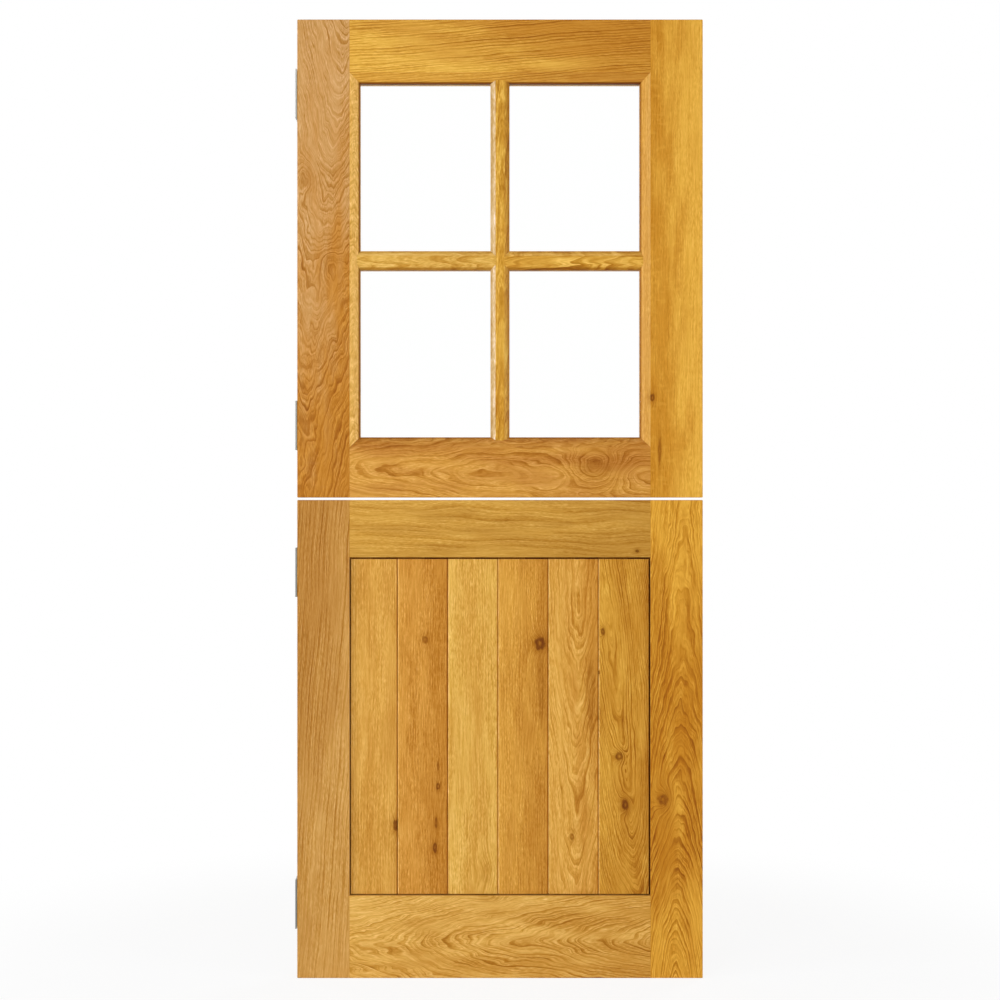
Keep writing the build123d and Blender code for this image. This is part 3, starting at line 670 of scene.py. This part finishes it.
def board_shares(graph, y, across, back):
    """How far a board takes painted sheen on the vee bevel facing the light, and painted shade on the bevel
    facing away and on its deep tongue.
    """
    depth = graph.maths("SUBTRACT", back, graph.maths("ABSOLUTE", y))
    vee = graph.ramp(depth, *VEE_DEPTH)
    # Painted shade on the vee bevel facing away from the light, painted sheen on the one facing it
    painted_shade_and_joint = graph.product(vee, graph.ramp(across, *HALVES))
    painted_sheen = graph.product(vee, graph.ramp(across, *reversed(HALVES), 0.0, VEE_GLEAM))
    # Painted shade on the tongue deep in the gap round the panel
    return painted_sheen, painted_shade_and_joint, graph.ramp(depth, *TONGUE_DEPTH, 0.0, TONGUE_SHADE)


def shoulder_share(graph, x):
    """The line of lacquer in the joint where a rail's shoulder meets a stile."""
    aside = graph.maths("ABSOLUTE", x)
    joint = graph.ramp(aside, *(SHOULDER + past for past in JOINT_INNER), 0.0, JOINT_SHADE)
    return graph.product(joint, graph.ramp(aside, *(SHOULDER + past for past in JOINT_OUTER)))


def oak_material(node, cut, knots=()):
    """Lacquered oak for one piece, grown round its own pith and along its own length."""
    oak = bpy.context.scene.door_oak
    low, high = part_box(node)
    size = high - low
    middle = (low + high) / 2
    turn = STANDING_GRAIN if size.z > size.x else LYING_GRAIN
    material, graph, output = new_material(f"oak {node}".replace("_", " "))
    coordinates = graph.node("ShaderNodeTexCoord").outputs["Object"]
    inputs = {"Vector": coordinates, "Location": -(turn @ middle), "Rotation": turn.to_euler()}
    grain = graph.node("ShaderNodeMapping", inputs).outputs[0]

    push, shade = 0.0, 0.0
    knot_tree = bpy.data.node_groups.get("oak knot") or knot_group()
    for x, z, half_length, half_width, pushes, darkness in knots:
        knot = graph.node("ShaderNodeGroup", {
            "Grain": grain, "Middle": turn @ (Vector((x, middle.y, z)) - middle),
            "Half Size": (half_length, half_width, KNOT_DEPTH), "Pushes": pushes, "Darkness": darkness,
            "Push": push, "Shade": shade,
        }, node_tree=knot_tree)
        push, shade = knot.outputs

    # Painted sheen on slopes and vees that face the light, painted shade on those facing away, at sight edges
    # and on deep tongues; a dark line in the joint at a rail's shoulder
    x, y, z = graph.split(coordinates)
    across = graph.split(grain)[1]
    painted_sheen, painted_shade_and_joint, dark = 0.0, 0.0, None
    if "moulding" in cut:
        painted_sheen, painted_shade_and_joint, dark = moulding_shares(graph, cut, y, across, low.y, (turn @ size).y / 2)
    if node in BOARDS:
        painted_sheen, painted_shade_and_joint, dark = board_shares(graph, y, across, high.y)
    if dark is not None:
        shade = graph.maths("MAXIMUM", dark, shade)
    if node in UPPER_FRAME + LOWER_FRAME and turn is LYING_GRAIN:
        painted_shade_and_joint = graph.maths("MAXIMUM", painted_shade_and_joint, shoulder_share(graph, x))

    grain_tree = bpy.data.node_groups.get("oak grain") or grain_group(oak)
    number = sorted(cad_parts).index(node)
    sheen_tone = paint(*cut["slope"]) if "slope" in cut else oak.painted_sheen_colour
    wood = graph.node("ShaderNodeGroup", {
        "Grain": grain, "Seed": tuple(step * number for step in SEED_STEP),
        "Pith Across": cut["pith"][0], "Pith Behind": cut["pith"][1],
        "Lean": cut["lean"], "Taper": cut["taper"], "Bow": cut.get("bow", 0.0),
        "Ring Width": cut["ring_width"], "Wander": cut["wander"], "Ripple": cut["ripple"],
        "Mark": cut["mark"], "Pale Mark": oak.pale_mark, "Streak": cut["streak"], "Fleck": cut["fleck"],
        "Pale": (*paint(*cut["pale"]), 1.0), "Brown": (*paint(*cut["brown"]), 1.0),
        "Slope": (*sheen_tone, 1.0), "Cloud": cut.get("cloud", 1.0),
        "Blush": cut.get("blush", 0.0), "Blush Along": cut.get("blush_along", 0.0),
        "Blush Across": cut.get("blush_across", 0.0), "Blush Bow": cut.get("blush_bow", 0.0),
        "Push": push, "Shade": shade, "Sheen Share": painted_sheen, "Painted Shade And Joint": painted_shade_and_joint,
    }, node_tree=grain_tree).outputs
    relief = {"Height": wood["Height"], "Strength": 0.35, "Distance": oak.grain_relief}
    bump = graph.node("ShaderNodeBump", relief)
    lacquer = graph.node("ShaderNodeBsdfPrincipled", {
        "Base Color": wood["Colour"], "Roughness": wood["Roughness"], "Normal": bump.outputs[0],
        "Specular IOR Level": 0.1, "Coat Weight": 0.04, "Coat Roughness": 0.22,
    })
    graph.tree.links.new(lacquer.outputs[0], output.inputs[0])
    return material


def steel_material(name, colour, brushing):
    """Satin steel with fine lines along the hinge."""
    material, graph, output = new_material(name)
    coordinates = graph.node("ShaderNodeTexCoord").outputs["Object"]
    lines = graph.noise(coordinates, (brushing, brushing, BRUSH_STRETCH * brushing), 2.0, 0.6)
    cloud = graph.noise(coordinates, STEEL_CLOUD_PATCH, 2.0, 0.6)
    worn = graph.maths("ADD", graph.swing(lines, LINE_WEAR), graph.swing(cloud, CLOUD_WEAR))
    shadow = tuple(STEEL_SHADOW * part for part in colour)
    shade = graph.mix(graph.maths("ADD", worn, 0.5), (*shadow, 1.0), (*colour, 1.0))
    dull = graph.maths("MULTIPLY_ADD", worn, WORN_DULLNESS, STEEL_DULLNESS)
    bump = graph.node("ShaderNodeBump", {"Height": lines, "Strength": 0.08, "Distance": 0.0001})
    steel = graph.node("ShaderNodeBsdfPrincipled", {
        "Base Color": shade, "Metallic": 1.0, "Roughness": dull, "Normal": bump.outputs[0],
    })
    graph.tree.links.new(steel.outputs[0], output.inputs[0])
    return material


def glass_material(glass):
    """Clear glass with faint waves and a trace of wiping marks."""
    material, graph, output = new_material("clear glass")
    coordinates = graph.node("ShaderNodeTexCoord").outputs["Object"]
    waves = graph.noise(coordinates, (glass.waviness, glass.waviness, 2 * glass.waviness))
    wiped = graph.noise(coordinates, WIPE_PATCH, 3.0, 0.6)
    bump = graph.node("ShaderNodeBump", {"Height": waves, "Strength": 0.02, "Distance": 0.001})
    pane = graph.node("ShaderNodeBsdfPrincipled", {
        "Base Color": (*glass.tint, 1.0), "Roughness": graph.ramp(wiped, *WIPE_SPAN, 0.0, WIPE_DULLNESS),
        "IOR": 1.5, "Transmission Weight": 1.0, "Normal": bump.outputs[0],
    })
    graph.tree.links.new(pane.outputs[0], output.inputs[0])
    return material


def give_oak(nodes):
    """Gives each of these CAD nodes oak of its own cut, with its own knots."""
    for node in nodes:
        give(node, oak_material(node, OAK_CUTS[node], OAK_KNOTS.get(node, ())))


class DOOR_OT_upper_frame(bpy.types.Operator):
    """Give the upper leaf's stiles and rails their oak"""

    bl_idname = "door.upper_frame"
    bl_label = "Upper frame"

    def execute(self, context):
        give_oak(UPPER_FRAME)
        return {"FINISHED"}


class DOOR_OT_glazing_bars(bpy.types.Operator):
    """Give the glazing bars their oak"""

    bl_idname = "door.glazing_bars"
    bl_label = "Glazing bars"

    def execute(self, context):
        give_oak(GLAZING_BARS)
        return {"FINISHED"}


class DOOR_OT_glass(bpy.types.Operator):
    """Give the four panes clear glass"""

    bl_idname = "door.glass"
    bl_label = "Glass"

    def execute(self, context):
        clear = glass_material(context.scene.door_glass)
        for node in PANES:
            give(node, clear)
        return {"FINISHED"}


def pin_places(bead, sizes):
    """Where the pins go through one bead: along the middle of the flat strip at its back."""
    low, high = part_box(bead)
    edge = bead.rsplit("_", 1)[1]
    inset = (high.y - low.y) / INSET_PARTS
    standing = edge in ("left", "right")
    start, stop = (low.z, high.z) if standing else (low.x, high.x)
    run = stop - start - 2 * sizes.end_distance
    count = math.ceil(run / sizes.spacing)
    sides = {"left": low.x + inset, "right": high.x - inset, "head": high.z - inset, "sill": low.z + inset}
    across = sides[edge]
    for step in range(count + 1):
        along = start + sizes.end_distance + run * step / count
        yield Vector((across, high.y, along) if standing else (along, high.y, across))


class DOOR_OT_beads(bpy.types.Operator):
    """Give the glazing beads their oak and drive the pins that hold them"""

    bl_idname = "door.beads"
    bl_label = "Beads and bead pins"

    def execute(self, context):
        sizes = context.scene.door_pins
        heads = bmesh.new()
        for node in BEADS:
            give(node, oak_material(node, OAK_CUTS["glazing_bead"]))
            for place in pin_places(node, sizes):
                stand = Matrix.Translation(place) @ Matrix.Rotation(-math.pi / 2, 4, "X")
                bmesh.ops.create_cone(
                    heads, cap_ends=True, segments=HEAD_SIDES, radius1=sizes.head_radius,
                    radius2=sizes.head_radius, depth=2 * sizes.head_height, matrix=stand,
                )
        rims = [
            edge for edge in heads.edges
            if len({round(corner.co.y, LEVEL_DIGITS) for corner in edge.verts}) == 1
            and edge.verts[0].co.y > edge.link_faces[0].calc_center_median().y - LEVEL_SLACK
        ]
        bmesh.ops.bevel(
            heads, geom=rims, offset=HEAD_ROUNDING * sizes.head_height,
            affect="EDGES", segments=2, profile=0.5, material=-1,
        )
        mesh = bpy.data.meshes.new("bead_pins")
        heads.to_mesh(mesh)
        heads.free()
        pin_colour = tuple(context.scene.door_steel.screw_colour)
        mesh.materials.append(steel_material("bead pin steel", pin_colour, PIN_BRUSHING))
        pins = bpy.data.objects.new("bead_pins", mesh)
        context.scene.collection.objects.link(pins)
        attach(pins, "upper_leaf")
        return {"FINISHED"}


class DOOR_OT_lower_frame(bpy.types.Operator):
    """Give the lower leaf's stiles and rails their oak"""

    bl_idname = "door.lower_frame"
    bl_label = "Lower frame"

    def execute(self, context):
        give_oak(LOWER_FRAME)
        return {"FINISHED"}


class DOOR_OT_boards(bpy.types.Operator):
    """Give the six panel boards their oak"""

    bl_idname = "door.boards"
    bl_label = "Panel boards"

    def execute(self, context):
        give_oak(BOARDS)
        return {"FINISHED"}


class DOOR_OT_hinges(bpy.types.Operator):
    """Give the hinges and their screws brushed steel"""

    bl_idname = "door.hinges"
    bl_label = "Hinges and screws"

    def execute(self, context):
        finish = context.scene.door_steel
        flap_steel = steel_material("hinge steel", tuple(finish.flap_colour), finish.brushing)
        screw_steel = steel_material("screw steel", tuple(finish.screw_colour), finish.brushing)
        for node in FLAPS + HINGE_PINS:
            give(node, flap_steel)
        for node in HINGE_SCREWS:
            give(node, screw_steel)
        return {"FINISHED"}


def soft_lamp(name, place, target, width, power):
    """A square soft box at a place, facing a target."""
    lamp = bpy.data.lights.new(name, "AREA")
    lamp.size = width
    lamp.energy = power
    box = bpy.data.objects.new(name, lamp)
    box.location = place
    box.rotation_euler = (Vector(target) - Vector(place)).to_track_quat("-Z", "Y").to_euler()
    bpy.context.scene.collection.objects.link(box)


def seen_share(graph):
    """1 for what the camera sees, directly or in metal and glass, and nought for light on the door."""
    ray = graph.node("ShaderNodeLightPath").outputs
    seen = graph.maths("MAXIMUM", ray["Is Camera Ray"], ray["Is Glossy Ray"])
    return graph.maths("MAXIMUM", seen, ray["Is Transmission Ray"])


def floor_material(studio):
    """Matt pale floor that looks white away from the door and keeps a share of the door's shadow."""
    material, graph, output = new_material("pale floor")
    seen = seen_share(graph)
    matt = graph.node("ShaderNodeBsdfDiffuse", {"Color": (*studio.floor_colour, 1.0)}).outputs[0]
    white = graph.node("ShaderNodeEmission", {"Strength": 1.0}).outputs[0]
    away = graph.length(graph.node("ShaderNodeTexCoord").outputs["Object"])
    shaded = graph.ramp(away, 0.5 * studio.shadow_reach, studio.shadow_reach, studio.shadow_share, 0.0)
    share = graph.product(seen, graph.maths("SUBTRACT", 1.0, shaded))
    blend = graph.node("ShaderNodeMixShader", {0: share, 1: matt, 2: white}).outputs[0]
    graph.tree.links.new(blend, output.inputs[0])
    return material


def studio_world(studio):
    """Even fill light on the door, plain white to the camera."""
    world = bpy.data.worlds.new("studio")
    world.use_nodes = True
    world.node_tree.nodes.clear()
    graph = Graph(world.node_tree)
    strength = graph.ramp(seen_share(graph), 0.0, 1.0, studio.fill_light, 1.0, smooth=False)
    light = graph.node("ShaderNodeBackground", {"Color": (1.0, 1.0, 1.0, 1.0), "Strength": strength})
    graph.node("ShaderNodeOutputWorld", {0: light.outputs[0]})
    return world


class DOOR_OT_stage(bpy.types.Operator):
    """Set the floor, the light and the camera round the door"""

    bl_idname = "door.stage"
    bl_label = "Stage"

    def execute(self, context):
        studio = context.scene.door_studio
        mesh = bpy.data.meshes.new("floor")
        ground = bmesh.new()
        bmesh.ops.create_grid(ground, x_segments=1, y_segments=1, size=studio.floor_size / 2)
        bmesh.ops.translate(ground, verts=ground.verts, vec=(0, 0, CAD_BOX[0].z))
        ground.to_mesh(mesh)
        ground.free()
        floor = bpy.data.objects.new("floor", mesh)
        context.scene.collection.objects.link(floor)
        mesh.materials.append(floor_material(studio))
        context.scene.world = studio_world(studio)
        for name, (place, width, power) in LAMPS.items():
            soft_lamp(name, place, (0, 0, DOOR_MIDDLE), width, power)

        camera = bpy.data.objects.new("camera", bpy.data.cameras.new("camera"))
        camera.location = (0, LEAF_FRONT - studio.camera_distance, studio.camera_height)
        camera.rotation_euler = Vector((0, 1, 0)).to_track_quat("-Z", "Y").to_euler()
        camera.data.lens = camera.data.sensor_width * studio.camera_distance / studio.view_width
        context.scene.collection.objects.link(camera)
        context.scene.camera = camera
        context.scene.view_settings.view_transform = "Standard"
        return {"FINISHED"}


class DOOR_PT_stable_door(bpy.types.Panel):
    """Steps of the stable door, in the order they are done"""

    bl_label = "Stable Door"
    bl_idname = "DOOR_PT_stable_door"
    bl_space_type = "VIEW_3D"
    bl_region_type = "UI"
    bl_category = "Stable Door"

    def draw(self, context):
        for step in STEPS:
            self.layout.operator(step.bl_idname)
        for name, kind in SETTINGS.items():
            box = self.layout.box()
            for field in kind.__annotations__:
                box.prop(getattr(context.scene, name), field)


SETTINGS = {
    "door_oak": OakFinish,
    "door_steel": SteelFinish,
    "door_glass": GlassFinish,
    "door_pins": BeadPinSizes,
    "door_studio": StudioSetup,
}
STEPS = (
    DOOR_OT_upper_frame,
    DOOR_OT_glazing_bars,
    DOOR_OT_glass,
    DOOR_OT_beads,
    DOOR_OT_lower_frame,
    DOOR_OT_boards,
    DOOR_OT_hinges,
    DOOR_OT_stage,
)


def register():
    for kind in (*SETTINGS.values(), *STEPS, DOOR_PT_stable_door):
        bpy.utils.register_class(kind)
    for name, kind in SETTINGS.items():
        setattr(bpy.types.Scene, name, bpy.props.PointerProperty(type=kind))


def unregister():
    for name in SETTINGS:
        delattr(bpy.types.Scene, name)
    for kind in (DOOR_PT_stable_door, *reversed(STEPS), *reversed(SETTINGS.values())):
        bpy.utils.unregister_class(kind)


def main():
    register()
    bpy.ops.door.upper_frame()
    bpy.ops.door.glazing_bars()
    bpy.ops.door.glass()
    bpy.ops.door.beads()
    bpy.ops.door.lower_frame()
    bpy.ops.door.boards()
    bpy.ops.door.hinges()
    bpy.ops.door.stage()


if __name__ == "__main__":
    main()
